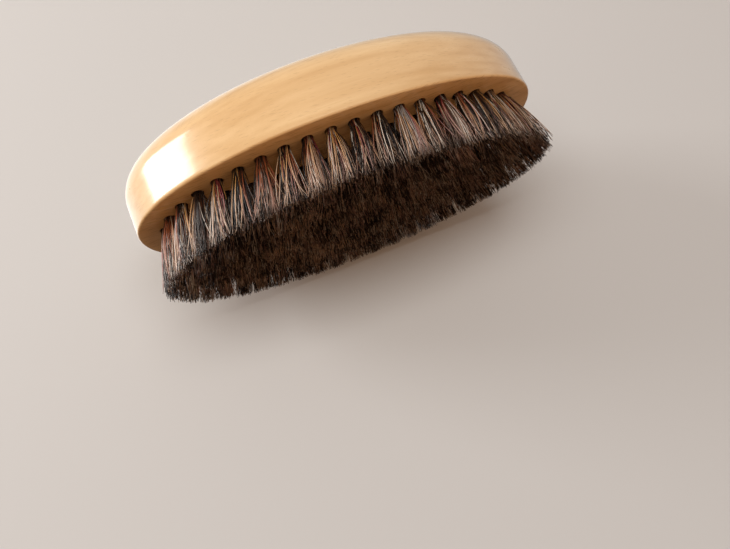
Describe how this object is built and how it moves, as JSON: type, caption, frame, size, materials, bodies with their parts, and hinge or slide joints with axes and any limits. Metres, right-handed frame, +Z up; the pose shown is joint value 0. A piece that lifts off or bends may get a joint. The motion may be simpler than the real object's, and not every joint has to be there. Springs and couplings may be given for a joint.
{
  "type": "beard brush",
  "caption": "Oval palm beard brush: a one-piece wooden block with a rounded back, set with tufts of natural bristle held by wire staples in blind holes.",
  "frame": {"origin": "centre of the flat plane of the bristle tips, which the brush stands on", "axes": "+X along the brush's length, +Y across its width, +Z up from the bristle tips to the wooden back"},
  "size_m": [0.115, 0.065, 0.0355],
  "materials": {
    "beech": "pale honey beech, fine dark flecks, clear satin lacquer",
    "natural_bristle": "stiff dark brown and black animal bristle with a few pale and reddish hairs, slightly glossy",
    "staple_wire": "bright flat drawn wire"
  },
  "bodies": {
    "root": {"beech_block": "beech", "inner_row_1": "natural_bristle", "inner_row_2": "natural_bristle", "inner_row_3": "natural_bristle", "inner_row_4": "natural_bristle", "inner_row_5": "natural_bristle", "inner_row_6": "natural_bristle", "inner_row_7": "natural_bristle", "outer_tuft_01": "natural_bristle", "outer_tuft_02": "natural_bristle", "outer_tuft_03": "natural_bristle", "outer_tuft_04": "natural_bristle", "outer_tuft_05": "natural_bristle", "outer_tuft_06": "natural_bristle", "outer_tuft_07": "natural_bristle", "outer_tuft_08": "natural_bristle", "outer_tuft_09": "natural_bristle", "outer_tuft_10": "natural_bristle", "outer_tuft_11": "natural_bristle", "outer_tuft_12": "natural_bristle", "outer_tuft_13": "natural_bristle", "outer_tuft_14": "natural_bristle", "outer_tuft_15": "natural_bristle", "outer_tuft_16": "natural_bristle", "outer_tuft_17": "natural_bristle", "outer_tuft_18": "natural_bristle", "outer_tuft_19": "natural_bristle", "outer_tuft_20": "natural_bristle", "outer_tuft_21": "natural_bristle", "outer_tuft_22": "natural_bristle", "outer_tuft_23": "natural_bristle", "outer_tuft_24": "natural_bristle", "outer_tuft_25": "natural_bristle", "outer_tuft_26": "natural_bristle", "outer_tuft_27": "natural_bristle", "outer_tuft_28": "natural_bristle", "outer_tuft_29": "natural_bristle", "outer_tuft_30": "natural_bristle", "outer_tuft_31": "natural_bristle", "outer_tuft_32": "natural_bristle", "outer_tuft_33": "natural_bristle", "outer_tuft_34": "natural_bristle", "outer_tuft_35": "natural_bristle", "outer_tuft_36": "natural_bristle", "outer_tuft_37": "natural_bristle", "outer_tuft_38": "natural_bristle", "outer_tuft_39": "natural_bristle", "outer_tuft_40": "natural_bristle", "outer_tuft_41": "natural_bristle", "outer_tuft_42": "natural_bristle", "staple_01": "staple_wire", "staple_02": "staple_wire", "staple_03": "staple_wire", "staple_04": "staple_wire", "staple_05": "staple_wire", "staple_06": "staple_wire"}
  },
  "joints": []
}
